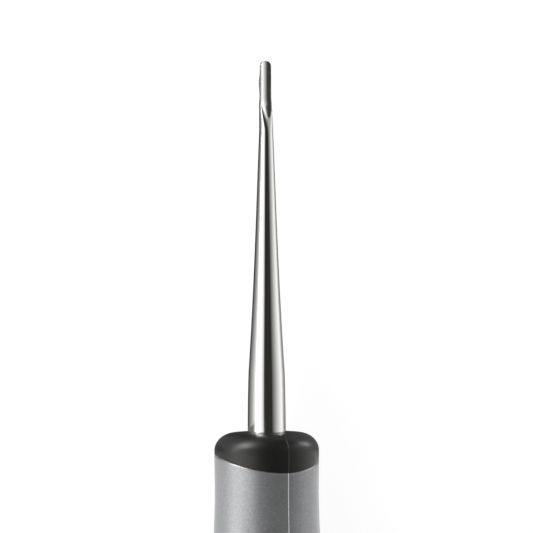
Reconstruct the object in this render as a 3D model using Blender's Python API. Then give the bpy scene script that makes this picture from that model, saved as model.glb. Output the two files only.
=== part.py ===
"""Luxating elevator: a fluted steel blade on a tapered shank, in a moulded two-tone handle.

Every piece is drawn in the tool's own frame. +Y runs along the axis to the blade's tip, +Z is the
front, the side that the flute opens on, and y = 0 is the top of the handle's nose. The tool is then
laid on its back, as it comes to rest on a table.
"""

from math import atan, cos, pi, radians, sin, sqrt, tan, tau

import bmesh
import bpy
from mathutils import Matrix, Vector

MM = 0.001

# Steel above the handle
EXPOSED_STEEL = 67.5 * MM
ROOT_RADIUS = 3.46 * MM
ROOT_LENGTH = 11.0 * MM
ROOT_DRAFT = 0.18 * MM
TAPER_SAG = 0.21 * MM
NECK_RADIUS = 1.26 * MM
NECK_FROM_TIP = 12.5 * MM

# Blade, with each place measured back from the tip. Its sides lean in towards the flute's rim.
BLADE_ROOT_FROM_TIP = 9.3 * MM
WAIST_FROM_TIP = 6.4 * MM
WAIST_HALF_WIDTH = 1.09 * MM
BELLY_FROM_TIP = 4.1 * MM
BELLY_HALF_WIDTH = 1.18 * MM
EDGE_FROM_TIP = 1.9 * MM
EDGE_HALF_WIDTH = 1.1 * MM
RIM_HALF_WIDTH = 1.04 * MM
RIM_HEIGHT = 0.05 * MM
SIDE_LEAN = radians(13.0)
END_ROUND_LENGTH = 0.93 * MM
TIP_BACK = 0.6 * MM
BACK_FULLNESS = 2.5

# Flat on the neck's front, which slopes down to the blade, with its edges rounded over
BLADE_FRONT = 0.2 * MM
FLAT_START_FROM_TIP = 8.0 * MM
FLAT_SLOPE = 0.27
FLAT_EDGE_ROUND = 0.6 * MM
BLADE_EDGE_ROUND = 0.06 * MM

# Flute, ground by a round wheel that climbs out of the neck in a pointed V
FLUTE_RADIUS = 1.8 * MM
FLUTE_FLOOR = 0.22 * MM
FLUTE_LEVEL_LENGTH = 6.5 * MM
RUN_OUT_BEND = 2.0 * MM
RUN_OUT_SLOPE = 0.36
RUN_OUT_END_FROM_TIP = 13.0 * MM

# Root and tang inside the handle
ROOT_IN_HANDLE = 9.2 * MM
TANG_RADIUS = 2.3 * MM
TANG_FLAT = 1.8 * MM
TANG_LENGTH = 36.0 * MM
TANG_TIP_CHAMFER = 0.8 * MM
FIT_GAP = 0.3 * MM

# Handle, with half widths across the front and places measured back from the nose
HANDLE_LENGTH = 75.0 * MM
HANDLE_OVAL = 0.9
NOSE_FLAT_RADIUS = 5.8 * MM
NOSE_CROWN = 0.05 * MM
NOSE_HALF_WIDTH = 9.71 * MM
SHOULDER_LENGTH = 3.3 * MM
GRIP_WAIST_PLACE = 11.0 * MM
GRIP_WAIST_HALF_WIDTH = 9.65 * MM
PALM_PLACE = 57.0 * MM
PALM_HALF_WIDTH = 12.8 * MM
BUTT_FULLNESS = 2.3

# Wavy joint between the black nose and the grey body
COLLAR_PLACE = 4.84 * MM
COLLAR_TILT = 1.45 * MM
COLLAR_WAVE = 0.6 * MM
COLLAR_TURN = radians(-3.5)
COLLAR_EDGE_ROUND = 0.15 * MM

# Parting line that the mould leaves along the handle's front and back
RIDGE_WIDTH = 0.28 * MM
RIDGE_HEIGHT = 0.13 * MM
NOSE_RIDGE_SHARE = 0.6

# How finely the round forms are faceted
STEEL_SIDES = 40
HANDLE_SIDES = 60
FLUTE_SIDES = 72
TAPER_RINGS = 14
FINE_RINGS_FROM_TIP = 14.5 * MM
BLADE_RINGS = 34
FLUTE_RINGS = 44
END_RINGS = 6
SHOULDER_RINGS = 8
COLLAR_BLEND_RINGS = 4
GRIP_RINGS = 14
BUTT_RINGS = 10
SMOOTH_ANGLE = radians(32.0)


def mix(low, high, share):
    """The value that lies a share of the way from low to high."""
    return low + (high - low) * share


def ease(share):
    """A smooth step from 0 to 1 that starts and ends level."""
    share = min(1.0, max(0.0, share))
    return share * share * (3.0 - 2.0 * share)


def eased_profile(knots, place):
    """A smooth curve through (place, value) knots, level at each of them."""
    for (start, low), (end, high) in zip(knots, knots[1:]):
        if place <= end:
            return mix(low, high, ease((place - start) / (end - start)))
    return knots[-1][1]


def steps(start, end, count):
    """Evenly spaced values from start to end, both included."""
    return [mix(start, end, index / count) for index in range(count + 1)]


def soft_min(first, second, softness):
    """The smaller of two heights, with the corner between them rounded over."""
    near = max(0.0, softness - abs(first - second)) / softness
    return min(first, second) - near * near * softness * 0.25


def rounded(share, fullness):
    """Height of a rounded form, 1 at its middle and 0 at its edge. It is an ellipse at fullness 2."""
    return max(0.0, 1.0 - abs(share) ** fullness) ** (1.0 / fullness)


def shank_radius(y):
    """Radius of the steel between the handle and the neck."""
    neck_y = EXPOSED_STEEL - NECK_FROM_TIP
    if y <= ROOT_LENGTH:
        return ROOT_RADIUS - ROOT_DRAFT * max(0.0, y / ROOT_LENGTH) ** 2
    share = min(1.0, (y - ROOT_LENGTH) / (neck_y - ROOT_LENGTH))
    straight = mix(ROOT_RADIUS - ROOT_DRAFT, NECK_RADIUS, share)
    return straight - TAPER_SAG * 4.0 * share * (1.0 - share) ** 1.5


def blade_half_width(y):
    """Half width of the blade at its widest: a waist, a belly, and a rounded end."""
    from_tip = EXPOSED_STEEL - y
    knots = [
        (-BLADE_ROOT_FROM_TIP, NECK_RADIUS),
        (-WAIST_FROM_TIP, WAIST_HALF_WIDTH),
        (-BELLY_FROM_TIP, BELLY_HALF_WIDTH),
        (-EDGE_FROM_TIP, EDGE_HALF_WIDTH),
    ]
    width = eased_profile(knots, -from_tip)
    if from_tip < END_ROUND_LENGTH:
        width *= sqrt(max(0.0, 1.0 - (1.0 - from_tip / END_ROUND_LENGTH) ** 2))
    return width


def blade_share(y):
    """1 along the blade, easing to 0 where the neck is round."""
    from_tip = EXPOSED_STEEL - y
    return 1.0 - ease((from_tip - WAIST_FROM_TIP) / (BLADE_ROOT_FROM_TIP - WAIST_FROM_TIP))


def widest_drop(y):
    """How far behind the axis the blade is widest: where its sides lean in to the flute's rim."""
    from_tip = max(EDGE_FROM_TIP, EXPOSED_STEEL - y)
    lean_in = blade_half_width(EXPOSED_STEEL - from_tip) - RIM_HALF_WIDTH
    return blade_share(y) * (lean_in / tan(SIDE_LEAN) - RIM_HEIGHT)


def back_depth(y):
    """Depth of the steel behind the axis, which thins steadily along the blade to its tip."""
    share = min(1.0, (EXPOSED_STEEL - y) / BLADE_ROOT_FROM_TIP)
    return mix(TIP_BACK, shank_radius(y), share)


def flat_height(y):
    """Height of the flat on the neck's front. Past the neck it stands clear of the steel."""
    return BLADE_FRONT + FLAT_SLOPE * max(0.0, EXPOSED_STEEL - y - FLAT_START_FROM_TIP)


def flute_floor(y):
    """Height of the flute's floor: level along the blade, then bending up to climb off the neck."""
    past = max(0.0, EXPOSED_STEEL - y - FLUTE_LEVEL_LENGTH)
    if past < RUN_OUT_BEND:
        return RUN_OUT_SLOPE * past ** 2 / (2.0 * RUN_OUT_BEND) - FLUTE_FLOOR
    return RUN_OUT_SLOPE * (past - 0.5 * RUN_OUT_BEND) - FLUTE_FLOOR


def steel_front(x, y, half_width):
    """Height of the steel's front at x before the flute is ground: round, with a flat on the neck."""
    blade = blade_share(y)
    drop = widest_drop(y)
    round_front = (shank_radius(y) + drop) * rounded(x / half_width, 2.0) - drop
    height = soft_min(round_front, flat_height(y), mix(FLAT_EDGE_ROUND, BLADE_EDGE_ROUND, blade))
    side = (half_width - abs(x)) / tan(SIDE_LEAN) - drop
    return min(height, mix(height, side, blade))


def steel_back(x, y, half_width):
    """Height of the steel's back at x, below the axis."""
    drop = widest_drop(y)
    fullness = mix(2.0, BACK_FULLNESS, blade_share(y))
    return -drop - (back_depth(y) - drop) * rounded(x / half_width, fullness)


def handle_half_width(place):
    """Half width of the handle at a distance behind the top of the nose."""
    shoulder_end = NOSE_CROWN + SHOULDER_LENGTH
    if place < shoulder_end:
        rise = max(0.0, place - NOSE_CROWN) / SHOULDER_LENGTH
        return mix(NOSE_FLAT_RADIUS, NOSE_HALF_WIDTH, sqrt(1.0 - (1.0 - rise) ** 2))
    if place > PALM_PLACE:
        drop = min(1.0, (place - PALM_PLACE) / (HANDLE_LENGTH - PALM_PLACE))
        return PALM_HALF_WIDTH * (1.0 - drop ** BUTT_FULLNESS) ** (1.0 / BUTT_FULLNESS)
    knots = [
        (shoulder_end, NOSE_HALF_WIDTH),
        (GRIP_WAIST_PLACE, GRIP_WAIST_HALF_WIDTH),
        (PALM_PLACE, PALM_HALF_WIDTH),
    ]
    return eased_profile(knots, place)


def collar_place(angle):
    """How far behind the nose the black and the grey meet, round the handle from its front."""
    turn = angle - COLLAR_TURN
    return COLLAR_PLACE + COLLAR_TILT * cos(turn) + COLLAR_WAVE * cos(2.0 * turn)


def handle_angles():
    """Angles round the handle from its front, closer together across the two parting ridges."""
    ridge_half_angle = 0.5 * RIDGE_WIDTH / NOSE_HALF_WIDTH
    angles = [tau * index / HANDLE_SIDES for index in range(HANDLE_SIDES)]
    for crest in (0.0, pi):
        angles += [crest - ridge_half_angle, crest + ridge_half_angle]
    return sorted(angle % tau for angle in angles)


def ridge_share(angle):
    """1 on the crest of a parting ridge and 0 elsewhere."""
    from_crest = min(angle % pi, pi - angle % pi)
    return 1.0 if from_crest < 0.25 * RIDGE_WIDTH / NOSE_HALF_WIDTH else 0.0


def handle_ring(place_at, width_at, oval, ridge):
    """A ring of points round the handle. Both sizes are given as functions of the angle."""
    points = []
    for angle in handle_angles():
        place = place_at(angle)
        width = width_at(place)
        height = ridge * ridge_share(angle)
        x = sin(angle) * (width + height)
        z = cos(angle) * (width * oval + height)
        points.append(Vector((x, -place, z)))
    return points


def plain_ring(place, radius):
    """A level circle inside the handle, such as the mouth or the floor of a bore."""
    return handle_ring(lambda angle: place, lambda at: radius, 1.0, 0.0)


def outer_ring(place_at, inset=0.0, ridge=1.0):
    """A ring on the outside of the handle, with its share of the parting ridges on it."""
    height = 0.0 if inset else ridge * RIDGE_HEIGHT
    return handle_ring(place_at, lambda at: handle_half_width(at) - inset, HANDLE_OVAL, height)


def steel_angles():
    """Evenly spaced angles round the steel from its front."""
    return [tau * index / STEEL_SIDES for index in range(STEEL_SIDES)]


def tang_ring(y, radius, flat):
    """A circle inside the handle, cut off by a flat in front and behind."""
    return [Vector((sin(a) * radius, y, max(-flat, min(flat, cos(a) * radius)))) for a in steel_angles()]


def steel_ring(y):
    """A ring round the steel outside the handle."""
    half_width = shank_radius(y) if y < EXPOSED_STEEL - BLADE_ROOT_FROM_TIP else blade_half_width(y)
    points = []
    for angle in steel_angles():
        x = sin(angle) * half_width
        z = steel_front(x, y, half_width) if cos(angle) > 0.0 else steel_back(x, y, half_width)
        points.append(Vector((x, y, z)))
    return points


def add_material(body, colour, roughness, metallic):
    """One Principled material for a piece."""
    material = bpy.data.materials.new(body.name)
    material.use_nodes = True
    shader = material.node_tree.nodes["Principled BSDF"]
    shader.inputs["Base Color"].default_value = (*colour, 1.0)
    shader.inputs["Roughness"].default_value = roughness
    shader.inputs["Metallic"].default_value = metallic
    body.data.materials.append(material)


def loft(name, rings, closed=False):
    """A solid skin over rings of equal count, either closed into a tube or capped at both ends."""
    mesh = bpy.data.meshes.new(name)
    build = bmesh.new()
    loops = [[build.verts.new(point) for point in ring] for ring in rings]
    pairs = list(zip(loops, loops[1:]))
    if closed:
        pairs.append((loops[-1], loops[0]))
    for low, high in pairs:
        for index in range(len(low)):
            after = (index + 1) % len(low)
            build.faces.new((low[index], low[after], high[after], high[index]))
    if not closed:
        build.faces.new(loops[0])
        build.faces.new(reversed(loops[-1]))
    bmesh.ops.recalc_face_normals(build, faces=build.faces)
    build.to_mesh(mesh)
    build.free()
    mesh.shade_smooth()
    mesh.set_sharp_from_angle(angle=SMOOTH_ANGLE)
    body = bpy.data.objects.new(name, mesh)
    bpy.context.collection.objects.link(body)
    return body


def make_flute_cutter():
    """The path of the grinding wheel, as a bar with the wheel's round section."""
    exit_y = EXPOSED_STEEL - RUN_OUT_END_FROM_TIP
    rings = []
    for y in steps(exit_y, EXPOSED_STEEL + FLUTE_RADIUS, FLUTE_RINGS):
        centre = flute_floor(y) + FLUTE_RADIUS
        rings.append([
            Vector((FLUTE_RADIUS * sin(tau * index / FLUTE_SIDES), y,
                    centre + FLUTE_RADIUS * cos(tau * index / FLUTE_SIDES)))
            for index in range(FLUTE_SIDES)
        ])
    cutter = loft("flute_cutter", rings)
    cutter.hide_render = True
    cutter.display_type = "WIRE"
    return cutter


def make_blade_shank():
    """The steel: tang, root, tapered shank, neck, and the blade with its flute ground in."""
    tang_end = -ROOT_IN_HANDLE - TANG_LENGTH
    fine_y = EXPOSED_STEEL - FINE_RINGS_FROM_TIP
    round_y = EXPOSED_STEEL - END_ROUND_LENGTH
    rings = [
        tang_ring(tang_end, TANG_RADIUS - TANG_TIP_CHAMFER, TANG_FLAT),
        tang_ring(tang_end + TANG_TIP_CHAMFER, TANG_RADIUS, TANG_FLAT),
        tang_ring(-ROOT_IN_HANDLE, TANG_RADIUS, TANG_FLAT),
        tang_ring(-ROOT_IN_HANDLE, ROOT_RADIUS, ROOT_RADIUS),
    ]
    places = steps(0.0, ROOT_LENGTH, 3)
    places += steps(ROOT_LENGTH, fine_y, TAPER_RINGS)[1:]
    places += steps(fine_y, round_y, BLADE_RINGS)[1:]
    places += [
        round_y + END_ROUND_LENGTH * sin(0.5 * pi * index / (END_RINGS + 0.5))
        for index in range(1, END_RINGS + 1)
    ]
    rings += [steel_ring(y) for y in places]
    body = loft("blade_shank", rings)
    cut = body.modifiers.new("flute", "BOOLEAN")
    cut.operation = "DIFFERENCE"
    cut.object = make_flute_cutter()
    add_material(body, (0.62, 0.62, 0.61), 0.16, 1.0)
    return body


def make_handle_head():
    """The black nose: a ring round the shank's root, with a wavy lower face."""
    bore = ROOT_RADIUS + FIT_GAP
    shoulder_end = NOSE_CROWN + SHOULDER_LENGTH
    share = NOSE_RIDGE_SHARE
    rings = [plain_ring(COLLAR_PLACE, bore), plain_ring(0.0, bore)]
    for index in range(SHOULDER_RINGS + 1):
        place = NOSE_CROWN + SHOULDER_LENGTH * (1.0 - cos(0.5 * pi * index / SHOULDER_RINGS))
        rings.append(outer_ring(lambda angle, place=place: place, ridge=share))
    above_edge = COLLAR_EDGE_ROUND
    rings.append(outer_ring(lambda angle: mix(shoulder_end, collar_place(angle) - above_edge, 0.5), ridge=share))
    rings.append(outer_ring(lambda angle: collar_place(angle) - above_edge, ridge=share))
    rings.append(outer_ring(collar_place, inset=COLLAR_EDGE_ROUND))
    body = loft("handle_head", rings, closed=True)
    add_material(body, (0.012, 0.012, 0.012), 0.42, 0.0)
    return body


def make_handle_body():
    """The grey grip, from the wavy joint to the butt, with a stepped socket for the steel."""
    root_bore = ROOT_RADIUS + FIT_GAP
    tang_bore = TANG_RADIUS + FIT_GAP
    step_place = ROOT_IN_HANDLE + FIT_GAP
    floor_place = ROOT_IN_HANDLE + TANG_LENGTH + FIT_GAP
    first_level = GRIP_WAIST_PLACE
    edge_round = COLLAR_EDGE_ROUND

    def top(angle):
        return collar_place(angle) + FIT_GAP

    rings = [
        plain_ring(floor_place, tang_bore),
        plain_ring(step_place, tang_bore),
        plain_ring(step_place, root_bore),
        plain_ring(COLLAR_PLACE + FIT_GAP, root_bore),
        outer_ring(top, inset=edge_round),
    ]
    for share in steps(0.0, 1.0, COLLAR_BLEND_RINGS):
        rings.append(outer_ring(lambda angle, share=share: mix(top(angle) + edge_round, first_level, share)))
    for place in steps(first_level, PALM_PLACE, GRIP_RINGS)[1:]:
        rings.append(outer_ring(lambda angle, place=place: place))
    for index in range(1, BUTT_RINGS + 1):
        drop = sin(0.5 * pi * index / (BUTT_RINGS + 0.5))
        place = mix(PALM_PLACE, HANDLE_LENGTH, drop)
        rings.append(outer_ring(lambda angle, place=place: place))
    body = loft("handle_body", rings)
    add_material(body, (0.27, 0.28, 0.295), 0.38, 0.35)
    return body


def resting_tilt():
    """How far the axis dips towards the tip when the shoulder and the palm swell both touch down."""
    places = steps(0.0, HANDLE_LENGTH, 300)
    front = [place for place in places if place < GRIP_WAIST_PLACE]
    rear = [place for place in places if place >= GRIP_WAIST_PLACE]
    slope = 0.0
    for _ in range(8):
        def reach(place):
            return handle_half_width(place) * HANDLE_OVAL - slope * place
        touch_front = max(front, key=reach)
        touch_rear = max(rear, key=reach)
        drop = handle_half_width(touch_rear) - handle_half_width(touch_front)
        slope = drop * HANDLE_OVAL / (touch_rear - touch_front)
    return atan(slope)


def lay_down(bodies):
    """Tilt the tool as it rests, set its lowest point on z = 0 and centre it on the origin."""
    axis = bpy.data.objects.new("tool_axis", None)
    bpy.context.collection.objects.link(axis)
    tilt = Matrix.Rotation(-resting_tilt(), 4, "X")
    points = [tilt @ vertex.co for body in bodies for vertex in body.data.vertices]
    low = Vector([min(point[side] for point in points) for side in range(3)])
    high = Vector([max(point[side] for point in points) for side in range(3)])
    centre = 0.5 * (low + high)
    axis.matrix_world = Matrix.Translation((-centre.x, -centre.y, -low.z)) @ tilt
    for body in bpy.context.collection.objects:
        if body.type == "MESH":
            body.parent = axis


def main():
    """Build the three pieces and lay the tool down."""
    for leftover in list(bpy.data.objects):
        bpy.data.objects.remove(leftover, do_unlink=True)
    bodies = [make_blade_shank(), make_handle_head(), make_handle_body()]
    lay_down(bodies)


main()
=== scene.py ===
from math import atan, cos, pi, radians, sin, sqrt, tan, tau

import bmesh
import bpy
from mathutils import Matrix, Vector


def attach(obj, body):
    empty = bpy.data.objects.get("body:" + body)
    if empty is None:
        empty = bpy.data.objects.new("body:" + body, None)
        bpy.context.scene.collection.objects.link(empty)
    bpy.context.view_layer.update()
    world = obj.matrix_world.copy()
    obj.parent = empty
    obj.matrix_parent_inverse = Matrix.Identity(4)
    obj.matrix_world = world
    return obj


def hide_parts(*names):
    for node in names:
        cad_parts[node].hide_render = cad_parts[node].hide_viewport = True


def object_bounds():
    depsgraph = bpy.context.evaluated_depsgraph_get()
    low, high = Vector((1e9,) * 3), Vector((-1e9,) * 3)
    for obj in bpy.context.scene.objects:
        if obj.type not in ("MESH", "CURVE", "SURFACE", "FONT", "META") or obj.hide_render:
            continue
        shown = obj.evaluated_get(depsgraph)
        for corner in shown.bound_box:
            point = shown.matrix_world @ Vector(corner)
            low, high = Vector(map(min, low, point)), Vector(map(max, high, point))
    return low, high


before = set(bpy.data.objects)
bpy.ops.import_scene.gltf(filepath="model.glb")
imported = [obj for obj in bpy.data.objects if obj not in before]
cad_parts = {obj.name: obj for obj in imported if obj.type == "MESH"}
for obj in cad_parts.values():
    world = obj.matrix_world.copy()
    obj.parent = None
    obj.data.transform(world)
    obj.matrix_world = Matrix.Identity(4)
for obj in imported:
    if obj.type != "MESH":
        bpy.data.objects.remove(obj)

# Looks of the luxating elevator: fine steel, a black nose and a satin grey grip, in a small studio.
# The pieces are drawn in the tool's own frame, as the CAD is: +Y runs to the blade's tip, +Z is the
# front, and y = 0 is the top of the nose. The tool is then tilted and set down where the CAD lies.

CAD_LOW, CAD_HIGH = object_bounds()
MM = 0.001

# Steel above the handle
EXPOSED_STEEL = 67.5 * MM
ROOT_RADIUS = 3.46 * MM
ROOT_LENGTH = 11.0 * MM
ROOT_DRAFT = 0.18 * MM
TAPER_SAG = 0.21 * MM
TAPER_SAG_FADE = 1.5
NECK_RADIUS = 1.26 * MM
NECK_FROM_TIP = 12.5 * MM

# Blade, with each place measured back from the tip. Its sides lean in towards the flute's rim.
BLADE_ROOT_FROM_TIP = 9.3 * MM
WAIST_FROM_TIP = 6.4 * MM
WAIST_HALF_WIDTH = 1.09 * MM
BELLY_FROM_TIP = 4.1 * MM
BELLY_HALF_WIDTH = 1.18 * MM
EDGE_FROM_TIP = 1.9 * MM
EDGE_HALF_WIDTH = 1.1 * MM
RIM_HALF_WIDTH = 1.04 * MM
RIM_HEIGHT = 0.05 * MM
SIDE_LEAN = radians(13.0)
END_ROUND_LENGTH = 0.93 * MM
TIP_BACK = 0.6 * MM
BACK_FULLNESS = 2.5

# Flat on the neck's front, which slopes down to the blade, with edges that round over up the neck
BLADE_FRONT = 0.2 * MM
FLAT_START_FROM_TIP = 8.0 * MM
FLAT_SLOPE = 0.27
FLAT_EDGE_ROUND = 0.42 * MM
FLAT_EDGE_GROWTH = 1.6 * MM

# Flute, ground by a round wheel that climbs out of the neck in a pointed V
FLUTE_RADIUS = 1.8 * MM
FLUTE_FLOOR = 0.22 * MM
FLUTE_LEVEL_LENGTH = 6.5 * MM
RUN_OUT_BEND = 2.0 * MM
RUN_OUT_SLOPE = 0.36
RUN_OUT_END_FROM_TIP = 13.0 * MM
CREASE_ROUND = 0.06 * MM

# Root and tang inside the handle
ROOT_IN_HANDLE = 9.2 * MM
TANG_RADIUS = 2.3 * MM
TANG_FLAT = 1.8 * MM
TANG_LENGTH = 36.0 * MM
TANG_TIP_CHAMFER = 0.8 * MM
FIT_GAP = 0.3 * MM

# Handle, with each place measured from the top of the nose towards the butt
HANDLE_LENGTH = 75.0 * MM
HANDLE_OVAL = 0.9
NOSE_FLAT_RADIUS = 5.8 * MM
NOSE_CROWN = 0.05 * MM
NOSE_HALF_WIDTH = 9.71 * MM
SHOULDER_LENGTH = 3.3 * MM
SHOULDER_END = NOSE_CROWN + SHOULDER_LENGTH
GRIP_WAIST_PLACE = 11.0 * MM
GRIP_WAIST_HALF_WIDTH = 9.65 * MM
PALM_PLACE = 57.0 * MM
PALM_HALF_WIDTH = 12.8 * MM
BUTT_FULLNESS = 2.3

# Nose's bore, with its rounded mouth as places and how far the bore has widened at each
BORE_GAP = 0.02 * MM
BORE_MOUTH = [(0.12 * MM, 0.0), (0.03 * MM, 0.04 * MM), (0.0, 0.12 * MM)]

# Wavy joint between the black and the grey, and how far in from the surface its faces reach
COLLAR_PLACE = 4.84 * MM
COLLAR_TILT = 1.45 * MM
COLLAR_WAVE = 0.6 * MM
COLLAR_TURN = radians(-3.5)
COLLAR_GAP = 0.05 * MM
COLLAR_FACE = 0.6 * MM
NOSE_EDGE_ROUND = 0.04 * MM
GRIP_EDGE_DEPTH = 0.2 * MM
GRIP_EDGE_LENGTH = 0.42 * MM

# Parting line of the mould
RIDGE_WIDTH = 0.22 * MM
RIDGE_HEIGHT = 0.13 * MM
NOSE_RIDGE_SHARE = 0.5

# Fineness of the meshes
STEEL_SIDES = 192
ROOT_RINGS = 20
TAPER_RINGS = 90
BLADE_RINGS = 240
TIP_RINGS = 30
HANDLE_SIDES = 240
RIDGE_POINTS = 8
RIDGE_CLEARANCE = 1.2
NOSE_TOP_RINGS = 10
SHOULDER_RINGS = 40
NOSE_SIDE_RINGS = 10
NOSE_EDGE_RINGS = 6
GRIP_EDGE_RINGS = 12
GRIP_TOP_RINGS = 24
GRIP_RINGS = 90
BUTT_RINGS = 60
STEEL_SHARP_ANGLE = radians(50.0)
HANDLE_SHARP_ANGLE = radians(60.0)
REST_STEPS = 300
REST_ROUNDS = 8

# Noise in the finishes is given as its scale and its detail. It keeps mostly between these levels.
NOISE_LOW = 0.3
NOISE_HIGH = 0.7

# Finish of the steel, polished, and ground near its tip
GROUND_FROM_TIP = 9.6 * MM
STEEL_COLOUR = (0.69, 0.685, 0.665)
GROUND_COLOUR = (0.8, 0.8, 0.79)
STEEL_ROUGHNESS = (0.06, 0.1)
GROUND_EXTRA_ROUGHNESS = 0.12
STEEL_WEAR_NOISE = (260.0, 3.0)
STEEL_LINE_NOISE = (900.0, 2.0)
STEEL_LINE_STRETCH = (1.0, 12.0, 1.0)
STEEL_LINE_DEPTH = 0.002 * MM
STEEL_LINE_STRENGTH = 0.3

# Finish of the nose
NOSE_DARK = (0.009, 0.009, 0.0088)
NOSE_LIGHT = (0.015, 0.015, 0.0146)
NOSE_ROUGHNESS = (0.3, 0.37)
NOSE_SPECULAR = 0.34
NOSE_SPECULAR_TINT = (1.0, 0.985, 0.95, 1.0)
NOSE_GRAIN_NOISE = (5200.0, 2.0)
NOSE_CLOUD_NOISE = (420.0, 3.0)
NOSE_GRAIN_DEPTH = 0.01 * MM
NOSE_GRAIN_STRENGTH = 0.5

# Finish of the grip
GRIP_DARK = (0.177, 0.1805, 0.187)
GRIP_LIGHT = (0.373, 0.378, 0.3865)
GRIP_ROUGHNESS = (0.3, 0.34)
GRIP_METALLIC = 0.5
GRIP_SHEEN = 0.35
GRIP_SHEEN_ROUGHNESS = 0.35
GRIP_GRAIN_NOISE = (3000.0, 3.0)
GRIP_CLOUD_NOISE = (300.0, 3.0)
GRIP_GRAIN_DEPTH = 0.03 * MM
GRIP_GRAIN_STRENGTH = 0.6

# Camera, turned round the tool's axis from its front. The top of the nose lies at a photo pixel.
PHOTO_PIXELS = 533
PIXELS_PER_MM = 5.5
VIEW_TURN = radians(26.65)
VIEW_LEAN = radians(-0.12)
NOSE_TOP_PIXEL = Vector((266.7, 431.9))
LENS = 200.0
SENSOR = 36.0
CLIP_START = 0.01
CLIP_END = 50.0

# Lamps, as turns in degrees round the tool from the photo's side, with the radiance at each. The
# low ones carry on from the first two, past the split, towards the butt.
LAMP_DISTANCE = 0.6
LAMP_END = 0.5
LAMP_SPLIT = -0.045
LEFT_LAMP = [(-62, 3.0), (-58, 3.0), (-48, 2.1), (-38, 1.5), (-22, 0.9), (-14, 0.0)]
RIGHT_LAMP = [(33, 0.03), (45, 0.25), (57, 0.47), (80, 0.96), (95, 1.25), (115, 1.32)]
LEFT_LOW_LAMP = [(-62, 3.0), (-58, 3.0), (-46, 2.8), (-32, 2.3), (-18, 1.4), (-6, 0.0)]
RIGHT_LOW_LAMP = [(46, 0.0), (60, 0.25), (74, 0.5), (90, 1.0), (100, 1.3), (115, 1.42)]

# Lamps that are swung along the axis: two towards the tip, and one beyond the butt for gloss alone
HIGH_LAMP_DISTANCE = 0.5
LEFT_HIGH_LAMP = [(-62, 16.0), (-45, 9.5), (-18, 0.0)]
LEFT_HIGH_LAMP_ALONG = radians(47.0)
LEFT_HIGH_LAMP_LENGTH = 0.3
RIGHT_HIGH_LAMP = [(98, 0.0), (108, 8.0), (115, 18.0)]
RIGHT_HIGH_LAMP_ALONG = radians(30.0)
RIGHT_HIGH_LAMP_LENGTH = 0.15
BUTT_LAMP = [(-47, 0.7), (100, 0.7)]
BUTT_LAMP_ALONG = radians(-66.0)
BUTT_LAMP_LENGTH = 0.66

# Floor, with the glow that the camera and gloss see there at each distance from the origin
FLOOR_RADIUS = 9.0
FLOOR_SIDES = 96
FLOOR_COLOUR = (0.75, 0.75, 0.75, 1.0)
FLOOR_SHADOW_COLOUR = (0.3, 0.3, 0.3, 1.0)
FLOOR_GLOW = [(0.15, 0.88), (0.4, 1.0)]

# Cards under the tool that only gloss shows, as places across it in millimetres, with the radiance
# at each. They are painted reflections: their dark middles under the shank and the nose are a painted
# shadow of the tool on the floor, and their bright sides, and the card under the grip, are painted glow
# that brightens the edges in gloss. One lies below the shank, and the others below the nose and the grip.
CARD_REACH = 0.8
CARD_HEIGHT = 0.2 * MM
NOSE_CARD_LENGTH_LEFT = 4.9 * MM
NOSE_CARD_LENGTH_RIGHT = 6.5 * MM
SHANK_PAINTED_REFLECTION = [
    (-150, 9.0), (-85, 2.0), (-57, 1.3), (-29, 1.08), (-13, 0.5), (-8, 0.3),
    (-5, 0.09), (8, 0.06), (17, 0.31), (45, 0.48), (120, 0.9), (400, 1.05),
]
NOSE_PAINTED_REFLECTION = [
    (-200, 2.6), (-60, 1.5), (-33, 0.7), (-23, 0.3), (-16, 0.2),
    (-10, 0.22), (8, 0.14), (14, 0.16), (28, 0.35), (200, 0.6),
]
GRIP_PAINTED_REFLECTION = [(-200, 2.6), (-60, 2.3), (-33, 1.4), (-10, 1.0), (10, 1.0), (28, 1.4), (200, 1.6)]

# World: a dim warm light, behind a white that only the camera sees
WORLD_COLOUR = (1.0, 0.97, 0.9, 1.0)
WORLD_STRENGTH = 0.036
WHITE_STRENGTH = 1.0


def mix(low, high, share):
    return low + (high - low) * share


def ease(share):
    share = min(1.0, max(0.0, share))
    return share * share * (3.0 - 2.0 * share)


def eased_profile(knots, place):
    """A level that eases from each (place, level) knot to the next."""
    for (start, low), (end, high) in zip(knots, knots[1:]):
        if place <= end:
            return mix(low, high, ease((place - start) / (end - start)))
    return knots[-1][1]


def steps(start, end, count):
    return [mix(start, end, index / count) for index in range(count + 1)]


def soft_min(first, second, softness):
    """The smaller of two heights, with the crease between them rounded over."""
    near = max(0.0, softness - abs(first - second)) / softness
    return min(first, second) - near * near * softness * 0.25


def rounded(share, fullness):
    """Height of a rounded form, 1 at its middle and 0 at its edge. It is an ellipse at fullness 2."""
    return max(0.0, 1.0 - abs(share) ** fullness) ** (1.0 / fullness)


def shank_radius(y):
    """Radius of the round steel: the root with its slight draft, then the hollow taper to the neck."""
    neck_y = EXPOSED_STEEL - NECK_FROM_TIP
    if y <= ROOT_LENGTH:
        return ROOT_RADIUS - ROOT_DRAFT * max(0.0, y / ROOT_LENGTH) ** 2
    share = min(1.0, (y - ROOT_LENGTH) / (neck_y - ROOT_LENGTH))
    straight = mix(ROOT_RADIUS - ROOT_DRAFT, NECK_RADIUS, share)
    return straight - TAPER_SAG * 4.0 * share * (1.0 - share) ** TAPER_SAG_FADE


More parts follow.
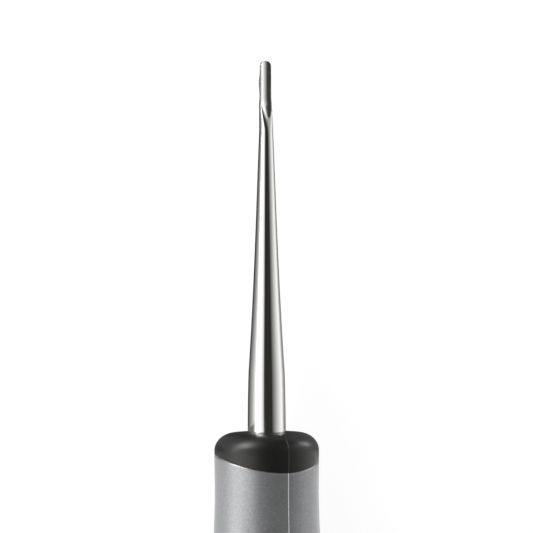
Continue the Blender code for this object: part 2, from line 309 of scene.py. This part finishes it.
def blade_half_width(y):
    """Half width of the blade at its widest: a waist, a belly, and a rounded end."""
    from_tip = EXPOSED_STEEL - y
    knots = [
        (-BLADE_ROOT_FROM_TIP, NECK_RADIUS),
        (-WAIST_FROM_TIP, WAIST_HALF_WIDTH),
        (-BELLY_FROM_TIP, BELLY_HALF_WIDTH),
        (-EDGE_FROM_TIP, EDGE_HALF_WIDTH),
    ]
    width = eased_profile(knots, -from_tip)
    if from_tip < END_ROUND_LENGTH:
        width *= sqrt(max(0.0, 1.0 - (1.0 - from_tip / END_ROUND_LENGTH) ** 2))
    return width


def blade_share(y):
    """1 along the blade, easing to 0 where the neck is round."""
    from_tip = EXPOSED_STEEL - y
    return 1.0 - ease((from_tip - WAIST_FROM_TIP) / (BLADE_ROOT_FROM_TIP - WAIST_FROM_TIP))


def widest_drop(y):
    """How far behind the axis the blade is widest: where its sides lean in to the flute's rim."""
    from_tip = max(EDGE_FROM_TIP, EXPOSED_STEEL - y)
    drop = (blade_half_width(EXPOSED_STEEL - from_tip) - RIM_HALF_WIDTH) / tan(SIDE_LEAN) - RIM_HEIGHT
    return blade_share(y) * drop


def back_depth(y):
    share = min(1.0, (EXPOSED_STEEL - y) / BLADE_ROOT_FROM_TIP)
    return mix(TIP_BACK, shank_radius(y), share)


def flat_height(y):
    """Height of the flat on the neck's front. Past the neck it stands clear of the steel."""
    return BLADE_FRONT + FLAT_SLOPE * max(0.0, EXPOSED_STEEL - y - FLAT_START_FROM_TIP)


def flute_floor(y):
    """Height of the flute's floor: level along the blade, then bending up to climb off the neck."""
    past = max(0.0, EXPOSED_STEEL - y - FLUTE_LEVEL_LENGTH)
    if past < RUN_OUT_BEND:
        return RUN_OUT_SLOPE * past ** 2 / (2.0 * RUN_OUT_BEND) - FLUTE_FLOOR
    return RUN_OUT_SLOPE * (past - 0.5 * RUN_OUT_BEND) - FLUTE_FLOOR


def steel_front(x, y, half_width):
    """Height of the steel's front at x: round, then flat, with the flute ground into it."""
    drop = widest_drop(y)
    round_front = (shank_radius(y) + drop) * rounded(x / half_width, 2.0) - drop
    up_neck = ease((EXPOSED_STEEL - y - FLAT_START_FROM_TIP) / FLAT_EDGE_GROWTH)
    height = soft_min(round_front, flat_height(y), mix(CREASE_ROUND, FLAT_EDGE_ROUND, up_neck))
    side = (half_width - abs(x)) / tan(SIDE_LEAN) - drop
    height = min(height, mix(height, side, blade_share(y)))
    if y < EXPOSED_STEEL - RUN_OUT_END_FROM_TIP:
        return height
    ground = flute_floor(y) + FLUTE_RADIUS - sqrt(max(0.0, FLUTE_RADIUS ** 2 - x ** 2))
    return soft_min(height, ground, CREASE_ROUND)


def steel_back(x, y, half_width):
    drop = widest_drop(y)
    fullness = mix(2.0, BACK_FULLNESS, blade_share(y))
    return -drop - (back_depth(y) - drop) * rounded(x / half_width, fullness)


def handle_half_width(place):
    """Half width of the handle: a rounded shoulder, a waist, the palm swell and a rounded butt."""
    if place < SHOULDER_END:
        rise = max(0.0, place - NOSE_CROWN) / SHOULDER_LENGTH
        return mix(NOSE_FLAT_RADIUS, NOSE_HALF_WIDTH, sqrt(1.0 - (1.0 - rise) ** 2))
    if place > PALM_PLACE:
        drop = min(1.0, (place - PALM_PLACE) / (HANDLE_LENGTH - PALM_PLACE))
        return PALM_HALF_WIDTH * rounded(drop, BUTT_FULLNESS)
    knots = [
        (SHOULDER_END, NOSE_HALF_WIDTH),
        (GRIP_WAIST_PLACE, GRIP_WAIST_HALF_WIDTH),
        (PALM_PLACE, PALM_HALF_WIDTH),
    ]
    return eased_profile(knots, place)


def collar_place(angle):
    """Where the black meets the grey, by the angle round the handle from its front."""
    turn = angle - COLLAR_TURN
    return COLLAR_PLACE + COLLAR_TILT * cos(turn) + COLLAR_WAVE * cos(2.0 * turn)


def ridge_half_angle():
    return 0.5 * RIDGE_WIDTH / NOSE_HALF_WIDTH


def ridge_share(angle):
    """Height of the parting line at an angle, from 0 to 1, with crests at the front and the back."""
    from_crest = min(angle % pi, pi - angle % pi) / ridge_half_angle()
    return cos(0.5 * pi * from_crest) ** 2 if from_crest < 1.0 else 0.0


def handle_angles():
    """Even angles round the handle, apart from finer ones across the parting line."""
    half = ridge_half_angle()
    angles = [
        tau * index / HANDLE_SIDES
        for index in range(HANDLE_SIDES)
        if abs((tau * index / HANDLE_SIDES + 0.5 * pi) % pi - 0.5 * pi) > half * RIDGE_CLEARANCE
    ]
    for crest in (0.0, pi):
        angles += [crest + half * side for side in steps(-1.0, 1.0, RIDGE_POINTS)]
    return sorted(angle % tau for angle in angles)


HANDLE_ANGLES = handle_angles()


def handle_ring(place_at, width_at, oval, ridge):
    points = []
    for angle in HANDLE_ANGLES:
        place = place_at(angle)
        width = width_at(place)
        height = ridge * ridge_share(angle)
        x = sin(angle) * (width + height)
        z = cos(angle) * (width * oval + height)
        points.append(Vector((x, -place, z)))
    return points


def plain_ring(place, radius):
    return handle_ring(lambda angle: place, lambda at: radius, 1.0, 0.0)


def outer_ring(place_at, inset=0.0, ridge=1.0):
    """A ring on the handle's surface, or inset from it, with a share of the parting line's height."""
    return handle_ring(place_at, lambda at: handle_half_width(at) - inset, HANDLE_OVAL, ridge * RIDGE_HEIGHT)


def steel_ring(y):
    half_width = shank_radius(y) if y < EXPOSED_STEEL - BLADE_ROOT_FROM_TIP else blade_half_width(y)
    points = []
    for index in range(STEEL_SIDES):
        angle = tau * index / STEEL_SIDES
        x = sin(angle) * half_width
        z = steel_front(x, y, half_width) if cos(angle) > 0.0 else steel_back(x, y, half_width)
        points.append(Vector((x, y, z)))
    return points


def tang_ring(y, radius, flat):
    angles = [tau * index / STEEL_SIDES for index in range(STEEL_SIDES)]
    return [Vector((sin(a) * radius, y, max(-flat, min(flat, cos(a) * radius)))) for a in angles]


def add_object(name, data):
    made = bpy.data.objects.new(name, data)
    bpy.context.scene.collection.objects.link(made)
    return made


def loft(name, rings, sharp_angle, closed=False):
    """A skin over rings of equal count, either closed into a tube or capped at both ends."""
    mesh = bpy.data.meshes.new(name)
    build = bmesh.new()
    loops = [[build.verts.new(point) for point in ring] for ring in rings]
    pairs = list(zip(loops, loops[1:]))
    if closed:
        pairs.append((loops[-1], loops[0]))
    for low, high in pairs:
        for index in range(len(low)):
            after = (index + 1) % len(low)
            build.faces.new((low[index], low[after], high[after], high[index]))
    if not closed:
        for loop in (loops[0], loops[-1]):
            centre = build.verts.new(sum((vert.co for vert in loop), Vector()) / len(loop))
            for index in range(len(loop)):
                build.faces.new((loop[index], loop[(index + 1) % len(loop)], centre))
    bmesh.ops.recalc_face_normals(build, faces=build.faces)
    build.to_mesh(mesh)
    build.free()
    mesh.shade_smooth()
    mesh.set_sharp_from_angle(angle=sharp_angle)
    return add_object(name, mesh)


def make_steel():
    tang_end = -ROOT_IN_HANDLE - TANG_LENGTH
    neck_y = EXPOSED_STEEL - NECK_FROM_TIP
    round_y = EXPOSED_STEEL - END_ROUND_LENGTH
    rings = [
        tang_ring(tang_end, TANG_RADIUS - TANG_TIP_CHAMFER, TANG_FLAT),
        tang_ring(tang_end + TANG_TIP_CHAMFER, TANG_RADIUS, TANG_FLAT),
        tang_ring(-ROOT_IN_HANDLE, TANG_RADIUS, TANG_FLAT),
        tang_ring(-ROOT_IN_HANDLE, ROOT_RADIUS, ROOT_RADIUS),
    ]
    places = steps(0.0, ROOT_LENGTH, ROOT_RINGS)
    places += steps(ROOT_LENGTH, neck_y, TAPER_RINGS)[1:]
    places += steps(neck_y, round_y, BLADE_RINGS)[1:]
    # The last ring stops half a step short of the tip, where it would shrink to a line
    last_turn = 0.5 * pi * TIP_RINGS / (TIP_RINGS + 0.5)
    places += [round_y + END_ROUND_LENGTH * sin(turn) for turn in steps(0.0, last_turn, TIP_RINGS)[1:]]
    rings += [steel_ring(y) for y in places]
    return loft("steel_blade_and_shank", rings, STEEL_SHARP_ANGLE)


def make_nose():
    bore = ROOT_RADIUS + BORE_GAP
    mouth = bore + BORE_MOUTH[-1][1]
    edge = NOSE_EDGE_ROUND
    rings = [plain_ring(COLLAR_PLACE, bore)]
    rings += [plain_ring(place, bore + widening) for place, widening in BORE_MOUTH]
    for share in steps(0.0, 1.0, NOSE_TOP_RINGS)[1:]:
        place = NOSE_CROWN * share ** 2
        width = mix(mouth, NOSE_FLAT_RADIUS, share)
        oval = mix(1.0, HANDLE_OVAL, share)
        ridge = ease(share) * NOSE_RIDGE_SHARE * RIDGE_HEIGHT
        rings.append(handle_ring(lambda angle: place, lambda at: width, oval, ridge))
    for turn in steps(0.0, 0.5 * pi, SHOULDER_RINGS)[1:]:
        place = NOSE_CROWN + SHOULDER_LENGTH * (1.0 - cos(turn))
        rings.append(outer_ring(lambda angle: place, ridge=NOSE_RIDGE_SHARE))
    for share in steps(0.0, 1.0, NOSE_SIDE_RINGS)[1:]:
        rings.append(outer_ring(lambda angle: mix(SHOULDER_END, collar_place(angle) - edge, share),
                                ridge=NOSE_RIDGE_SHARE))
    for turn in steps(0.0, 0.5 * pi, NOSE_EDGE_RINGS)[1:]:
        rings.append(outer_ring(lambda angle: collar_place(angle) - edge * (1.0 - sin(turn)),
                                inset=edge * (1.0 - cos(turn)), ridge=NOSE_RIDGE_SHARE * cos(turn)))
    rings.append(outer_ring(collar_place, inset=COLLAR_FACE, ridge=0.0))
    return loft("black_nose", rings, HANDLE_SHARP_ANGLE, closed=True)


def make_grip():
    root_bore = ROOT_RADIUS + FIT_GAP
    tang_bore = TANG_RADIUS + FIT_GAP
    step_place = ROOT_IN_HANDLE + FIT_GAP
    floor_place = ROOT_IN_HANDLE + TANG_LENGTH + FIT_GAP

    def top(angle):
        return collar_place(angle) + COLLAR_GAP

    rings = [
        plain_ring(floor_place, tang_bore),
        plain_ring(step_place, tang_bore),
        plain_ring(step_place, root_bore),
        plain_ring(COLLAR_PLACE + FIT_GAP, root_bore),
        outer_ring(top, inset=COLLAR_FACE, ridge=0.0),
    ]
    for turn in steps(0.5 * pi, 0.0, GRIP_EDGE_RINGS)[:-1]:
        rings.append(outer_ring(lambda angle: top(angle) + GRIP_EDGE_LENGTH * (1.0 - sin(turn)),
                                inset=GRIP_EDGE_DEPTH * (1.0 - cos(turn)), ridge=cos(turn)))
    for share in steps(0.0, 1.0, GRIP_TOP_RINGS):
        rings.append(outer_ring(lambda angle: mix(top(angle) + GRIP_EDGE_LENGTH, GRIP_WAIST_PLACE, share)))
    for place in steps(GRIP_WAIST_PLACE, PALM_PLACE, GRIP_RINGS)[1:]:
        rings.append(outer_ring(lambda angle: place))
    for turn in steps(0.0, 0.5 * pi, BUTT_RINGS)[1:-1]:
        place = mix(PALM_PLACE, HANDLE_LENGTH, sin(turn))
        rings.append(outer_ring(lambda angle: place))
    return loft("grey_grip", rings, HANDLE_SHARP_ANGLE)


def resting_tilt():
    """How far the handle leans when it lies on its back, on its nose and its palm swell."""
    places = steps(0.0, HANDLE_LENGTH, REST_STEPS)
    front = [place for place in places if place < GRIP_WAIST_PLACE]
    rear = [place for place in places if place >= GRIP_WAIST_PLACE]
    slope = 0.0

    def reach(place):
        return handle_half_width(place) * HANDLE_OVAL - slope * place

    for _ in range(REST_ROUNDS):
        touch_front = max(front, key=reach)
        touch_rear = max(rear, key=reach)
        drop = handle_half_width(touch_rear) - handle_half_width(touch_front)
        slope = drop * HANDLE_OVAL / (touch_rear - touch_front)
    return atan(slope)


def lay_down(made):
    """Tilt the pieces as the tool rests and move them to where the CAD lies. Returns that placing."""
    tilt = Matrix.Rotation(-resting_tilt(), 4, "X")
    points = [tilt @ vertex.co for piece in made for vertex in piece.data.vertices]
    low = Vector([min(point[side] for point in points) for side in range(3)])
    high = Vector([max(point[side] for point in points) for side in range(3)])
    shift = 0.5 * (CAD_LOW + CAD_HIGH) - 0.5 * (low + high)
    shift.z = CAD_LOW.z - low.z
    placing = Matrix.Translation(shift) @ tilt
    for piece in made:
        piece.data.transform(placing)
    return placing


def empty_material(name):
    material = bpy.data.materials.new(name)
    material.use_nodes = True
    tree = material.node_tree
    tree.nodes.clear()
    output = tree.nodes.new("ShaderNodeOutputMaterial")
    return material, tree.nodes, tree.links, output


def surface_material(name):
    material, nodes, links, output = empty_material(name)
    shader = nodes.new("ShaderNodeBsdfPrincipled")
    links.new(shader.outputs["BSDF"], output.inputs["Surface"])
    return material, nodes, links, shader


def scaled_noise(nodes, links, scale, detail, stretch=(1.0, 1.0, 1.0)):
    where = nodes.new("ShaderNodeTexCoord")
    mapping = nodes.new("ShaderNodeMapping")
    mapping.inputs["Scale"].default_value = stretch
    noise = nodes.new("ShaderNodeTexNoise")
    noise.inputs["Scale"].default_value = scale
    noise.inputs["Detail"].default_value = detail
    links.new(where.outputs["Object"], mapping.inputs["Vector"])
    links.new(mapping.outputs["Vector"], noise.inputs["Vector"])
    return noise.outputs["Fac"]


def ranged(nodes, links, source, low, high, start=NOISE_LOW, end=NOISE_HIGH):
    """A level that runs from low to high as the source runs from start to end, and stays there."""
    node = nodes.new("ShaderNodeMapRange")
    node.inputs["From Min"].default_value = start
    node.inputs["From Max"].default_value = end
    node.inputs["To Min"].default_value = low
    node.inputs["To Max"].default_value = high
    links.new(source, node.inputs["Value"])
    return node.outputs["Result"]


def combined(nodes, links, operation, first, second):
    node = nodes.new("ShaderNodeMath")
    node.operation = operation
    links.new(first, node.inputs[0])
    links.new(second, node.inputs[1])
    return node.outputs["Value"]


def piecewise(nodes, links, source, knots):
    """A level that follows straight stretches between (place, level) knots, as one socket."""
    (start, low), (end, high) = knots[:2]
    total = ranged(nodes, links, source, low, high, start, end)
    for (start, low), (end, high) in zip(knots[1:], knots[2:]):
        rise = ranged(nodes, links, source, 0.0, high - low, start, end)
        total = combined(nodes, links, "ADD", total, rise)
    return total


def colour_between(nodes, links, source, dark, light):
    node = nodes.new("ShaderNodeMix")
    node.data_type = "RGBA"
    node.inputs["A"].default_value = (*dark, 1.0)
    node.inputs["B"].default_value = (*light, 1.0)
    links.new(source, node.inputs["Factor"])
    return node.outputs["Result"]


def bump(nodes, links, source, shader, distance, strength):
    node = nodes.new("ShaderNodeBump")
    node.inputs["Distance"].default_value = distance
    node.inputs["Strength"].default_value = strength
    links.new(source, node.inputs["Height"])
    links.new(node.outputs["Normal"], shader.inputs["Normal"])


def coordinate(nodes, links, node_type, output, axis):
    """One coordinate of a place, read from an output of a node of the given type."""
    where = nodes.new(node_type)
    split = nodes.new("ShaderNodeSeparateXYZ")
    links.new(where.outputs[output], split.inputs["Vector"])
    return split.outputs[axis]


def steel_material():
    """Polished steel, a little brighter and softer where the blade has been ground."""
    material, nodes, links, shader = surface_material("polished_steel")
    y = coordinate(nodes, links, "ShaderNodeTexCoord", "Object", "Y")
    ground_start = CAD_HIGH.y - GROUND_FROM_TIP
    ground = ranged(nodes, links, y, 0.0, 1.0, ground_start - MM, ground_start)
    wear = scaled_noise(nodes, links, *STEEL_WEAR_NOISE)
    lines = scaled_noise(nodes, links, *STEEL_LINE_NOISE, STEEL_LINE_STRETCH)
    colour = colour_between(nodes, links, ground, STEEL_COLOUR, GROUND_COLOUR)
    polish = ranged(nodes, links, wear, *STEEL_ROUGHNESS)
    grinding = ranged(nodes, links, ground, 0.0, GROUND_EXTRA_ROUGHNESS, 0.0, 1.0)
    links.new(colour, shader.inputs["Base Color"])
    links.new(combined(nodes, links, "ADD", polish, grinding), shader.inputs["Roughness"])
    shader.inputs["Metallic"].default_value = 1.0
    bump(nodes, links, lines, shader, STEEL_LINE_DEPTH, STEEL_LINE_STRENGTH)
    return material


def nose_material():
    """Black moulded plastic with a fine grain and a slightly uneven satin gloss."""
    material, nodes, links, shader = surface_material("satin_black")
    grain = scaled_noise(nodes, links, *NOSE_GRAIN_NOISE)
    cloud = scaled_noise(nodes, links, *NOSE_CLOUD_NOISE)
    links.new(colour_between(nodes, links, grain, NOSE_DARK, NOSE_LIGHT), shader.inputs["Base Color"])
    links.new(ranged(nodes, links, cloud, *NOSE_ROUGHNESS), shader.inputs["Roughness"])
    shader.inputs["Specular IOR Level"].default_value = NOSE_SPECULAR
    shader.inputs["Specular Tint"].default_value = NOSE_SPECULAR_TINT
    bump(nodes, links, grain, shader, NOSE_GRAIN_DEPTH, NOSE_GRAIN_STRENGTH)
    return material


def grip_material():
    """Grey lacquer with fine metal flakes: patches of grain that catch the light differently."""
    material, nodes, links, shader = surface_material("satin_grey")
    grain = scaled_noise(nodes, links, *GRIP_GRAIN_NOISE)
    cloud = scaled_noise(nodes, links, *GRIP_CLOUD_NOISE)
    links.new(colour_between(nodes, links, grain, GRIP_DARK, GRIP_LIGHT), shader.inputs["Base Color"])
    links.new(ranged(nodes, links, cloud, *GRIP_ROUGHNESS), shader.inputs["Roughness"])
    shader.inputs["Metallic"].default_value = GRIP_METALLIC
    shader.inputs["Sheen Weight"].default_value = GRIP_SHEEN
    shader.inputs["Sheen Roughness"].default_value = GRIP_SHEEN_ROUGHNESS
    bump(nodes, links, grain, shader, GRIP_GRAIN_DEPTH, GRIP_GRAIN_STRENGTH)
    return material


def around(turn, distance):
    """A point round the tool's axis, by its turn from the photo's side, in the tool's frame."""
    angle = turn - VIEW_TURN
    return Vector((sin(angle) * distance, 0.0, cos(angle) * distance))


def make_camera(placing):
    frame_width = PHOTO_PIXELS / PIXELS_PER_MM * MM
    distance = frame_width * LENS / SENSOR
    data = bpy.data.cameras.new("camera")
    data.lens = LENS
    data.sensor_width = SENSOR
    data.clip_start = CLIP_START
    data.clip_end = CLIP_END
    camera = add_object("camera", data)
    facing = Matrix.Rotation(-VIEW_TURN, 4, "Y") @ Matrix.Rotation(VIEW_LEAN, 4, "Z")
    middle = 0.5 * PHOTO_PIXELS
    across = (middle - NOSE_TOP_PIXEL.x) / PIXELS_PER_MM * MM
    along = (NOSE_TOP_PIXEL.y - middle) / PIXELS_PER_MM * MM
    spot = facing @ Vector((across, along, distance))
    camera.matrix_world = placing @ Matrix.Translation(spot) @ facing
    bpy.context.scene.camera = camera


def soft_box(name, placing, knots, distance, start, end, along=0.0):
    """A flat lamp beside the tool, whose (turn, radiance) knots run round the tool's axis.

    It runs from start to end along the axis, then is swung towards the tip by the angle "along".
    """
    knots = [(radians(turn), level) for turn, level in knots]
    first, last = knots[0][0], knots[-1][0]
    middle = 0.5 * (first + last)
    reach = distance * cos(along)
    half = reach * tan(0.5 * (last - first))
    peak = max(level for turn, level in knots)
    data = bpy.data.lights.new(name, "AREA")
    data.shape = "RECTANGLE"
    data.size = 2.0 * half
    data.size_y = end - start
    data.energy = peak * pi * data.size * data.size_y
    lamp = add_object(name, data)
    spot = around(middle, reach) + Vector((0.0, distance * sin(along) + 0.5 * (start + end), 0.0))
    facing = Matrix.Rotation(middle - VIEW_TURN, 4, "Y") @ Matrix.Rotation(-along, 4, "X")
    lamp.matrix_world = placing @ Matrix.Translation(spot) @ facing
    lamp.visible_camera = False
    data.use_nodes = True
    nodes, links = data.node_tree.nodes, data.node_tree.links
    across = coordinate(nodes, links, "ShaderNodeNewGeometry", "Parametric", "X")
    shares = [(0.5 + 0.5 * reach * tan(turn - middle) / half, level / peak) for turn, level in knots]
    links.new(piecewise(nodes, links, across, shares), nodes["Emission"].inputs["Strength"])
    return lamp


def make_lamps(placing):
    for name, knots, start, end in (
        ("left_lamp", LEFT_LAMP, LAMP_SPLIT, LAMP_END),
        ("right_lamp", RIGHT_LAMP, LAMP_SPLIT, LAMP_END),
        ("left_low_lamp", LEFT_LOW_LAMP, -LAMP_END, LAMP_SPLIT),
        ("right_low_lamp", RIGHT_LOW_LAMP, -LAMP_END, LAMP_SPLIT),
    ):
        soft_box(name, placing, knots, LAMP_DISTANCE, start, end)
    for name, knots, length, along in (
        ("left_high_lamp", LEFT_HIGH_LAMP, LEFT_HIGH_LAMP_LENGTH, LEFT_HIGH_LAMP_ALONG),
        ("right_high_lamp", RIGHT_HIGH_LAMP, RIGHT_HIGH_LAMP_LENGTH, RIGHT_HIGH_LAMP_ALONG),
    ):
        soft_box(name, placing, knots, HIGH_LAMP_DISTANCE, -0.5 * length, 0.5 * length, along)
    butt_lamp = soft_box("butt_lamp", placing, BUTT_LAMP, LAMP_DISTANCE, -0.5 * BUTT_LAMP_LENGTH,
                         0.5 * BUTT_LAMP_LENGTH, BUTT_LAMP_ALONG)
    butt_lamp.visible_diffuse = False


def seen_directly(nodes, links, glossy=True):
    """1 for rays that show the background itself: camera, and mirror and glass where asked."""
    path = nodes.new("ShaderNodeLightPath")
    result = path.outputs["Is Camera Ray"]
    if glossy:
        for kind in ("Is Glossy Ray", "Is Transmission Ray"):
            result = combined(nodes, links, "MAXIMUM", result, path.outputs[kind])
    return result


def make_floor():
    """A pale floor that keeps the tool's shadow, and glows white where it is seen directly."""
    data = bpy.data.meshes.new("floor")
    build = bmesh.new()
    bmesh.ops.create_circle(build, cap_ends=True, segments=FLOOR_SIDES, radius=FLOOR_RADIUS)
    build.to_mesh(data)
    build.free()
    floor = add_object("floor", data)
    material, nodes, links, output = empty_material("pale_floor")
    plain = nodes.new("ShaderNodeBsdfDiffuse")
    plain.inputs["Color"].default_value = FLOOR_COLOUR
    shaded = nodes.new("ShaderNodeBsdfDiffuse")
    shaded.inputs["Color"].default_value = FLOOR_SHADOW_COLOUR
    glow = nodes.new("ShaderNodeEmission")
    where = nodes.new("ShaderNodeNewGeometry")
    away = nodes.new("ShaderNodeVectorMath")
    away.operation = "LENGTH"
    links.new(where.outputs["Position"], away.inputs[0])
    links.new(piecewise(nodes, links, away.outputs["Value"], FLOOR_GLOW), glow.inputs["Strength"])
    add = nodes.new("ShaderNodeAddShader")
    choose = nodes.new("ShaderNodeMixShader")
    links.new(shaded.outputs[0], add.inputs[0])
    links.new(glow.outputs[0], add.inputs[1])
    links.new(seen_directly(nodes, links), choose.inputs[0])
    links.new(plain.outputs[0], choose.inputs[1])
    links.new(add.outputs[0], choose.inputs[2])
    links.new(choose.outputs[0], output.inputs["Surface"])
    data.materials.append(material)


def make_painted_reflection(name, left, right, near, far, knots):
    """A glowing sheet just over the floor, with a straight-sided outline, that only gloss shows. It is a
    painted reflection: painted shade where its knots are low, painted glow where they are high.
    """
    data = bpy.data.meshes.new(name)
    corners = [(left, near), (right, near), (right, far), (left, far)]
    data.from_pydata([(x, y, CARD_HEIGHT) for x, y in corners], [], [(0, 1, 2, 3)])
    card = add_object(name, data)
    material, nodes, links, output = empty_material(name)
    glow = nodes.new("ShaderNodeEmission")
    across = coordinate(nodes, links, "ShaderNodeNewGeometry", "Position", "X")
    shares = [(place * MM, level) for place, level in knots]
    links.new(piecewise(nodes, links, across, shares), glow.inputs["Strength"])
    links.new(glow.outputs[0], output.inputs["Surface"])
    data.materials.append(material)
    card.visible_camera = False
    card.visible_diffuse = False
    card.visible_shadow = False
    card.visible_transmission = False
    card.visible_volume_scatter = False


def make_painted_reflections(placing):
    """Painted reflections: one card under the shank, and for each side one under the nose and one under the
    grip.
    """
    nose_y = placing.translation.y
    make_painted_reflection("shank_painted_reflection", -CARD_REACH, CARD_REACH, nose_y, nose_y + CARD_REACH, SHANK_PAINTED_REFLECTION)
    for side, left, right, length in (
        ("left", -CARD_REACH, 0.0, NOSE_CARD_LENGTH_LEFT),
        ("right", 0.0, CARD_REACH, NOSE_CARD_LENGTH_RIGHT),
    ):
        make_painted_reflection("nose_painted_reflection_" + side, left, right, nose_y - length, nose_y, NOSE_PAINTED_REFLECTION)
        make_painted_reflection("grip_painted_reflection_" + side, left, right, nose_y - CARD_REACH, nose_y - length, GRIP_PAINTED_REFLECTION)


def make_world():
    world = bpy.data.worlds.new("studio")
    bpy.context.scene.world = world
    world.use_nodes = True
    nodes, links = world.node_tree.nodes, world.node_tree.links
    nodes.clear()
    output = nodes.new("ShaderNodeOutputWorld")
    dim = nodes.new("ShaderNodeBackground")
    dim.inputs["Color"].default_value = WORLD_COLOUR
    dim.inputs["Strength"].default_value = WORLD_STRENGTH
    white = nodes.new("ShaderNodeBackground")
    white.inputs["Strength"].default_value = WHITE_STRENGTH
    choose = nodes.new("ShaderNodeMixShader")
    links.new(seen_directly(nodes, links, glossy=False), choose.inputs[0])
    links.new(dim.outputs[0], choose.inputs[1])
    links.new(white.outputs[0], choose.inputs[2])
    links.new(choose.outputs[0], output.inputs["Surface"])


steel = make_steel()
nose = make_nose()
grip = make_grip()
placing = lay_down([steel, nose, grip])

for piece, node, slot, material in (
    (steel, "blade_shank", "steel", steel_material()),
    (nose, "handle_head", "black_nose", nose_material()),
    (grip, "handle_body", "grey_grip", grip_material()),
):
    piece.data.materials.append(material)
    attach(piece, "root")
    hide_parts(node)

make_camera(placing)
make_lamps(placing)
make_painted_reflections(placing)
make_floor()
make_world()

bpy.context.scene.view_settings.view_transform = "Standard"
